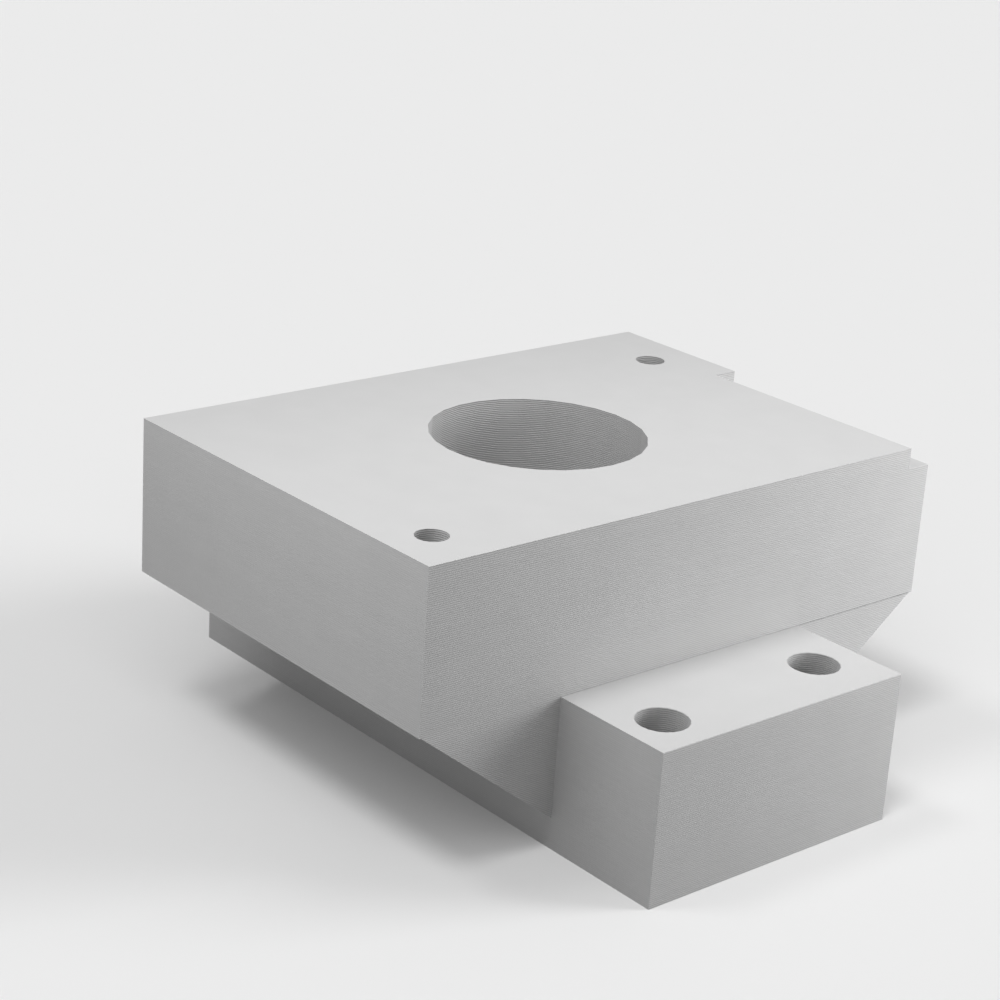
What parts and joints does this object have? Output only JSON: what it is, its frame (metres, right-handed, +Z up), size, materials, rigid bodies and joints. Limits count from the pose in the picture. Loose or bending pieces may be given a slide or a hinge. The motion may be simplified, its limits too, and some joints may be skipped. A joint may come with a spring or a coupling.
{
  "type": "carburetor adapter",
  "caption": "Solid printed adapter: a thick plate with a main bore and diagonal stud holes, set across a longer bolt bar, with sloped braces under its overhanging sides.",
  "frame": {"origin": "on the main bore's axis, at the base that rests on the engine's flange", "axes": "+X along the flange bar to its front end, +Y across the plate to its rebated side, +Z up along the main bore to the carburetor face"},
  "size_m": [0.1099, 0.1002, 0.049],
  "materials": {
    "printed_plastic": "light grey printed plastic, with fine level layer lines on the walls and smooth flat tops"
  },
  "bodies": {
    "root": {"adapter_body": "printed_plastic"}
  },
  "joints": []
}
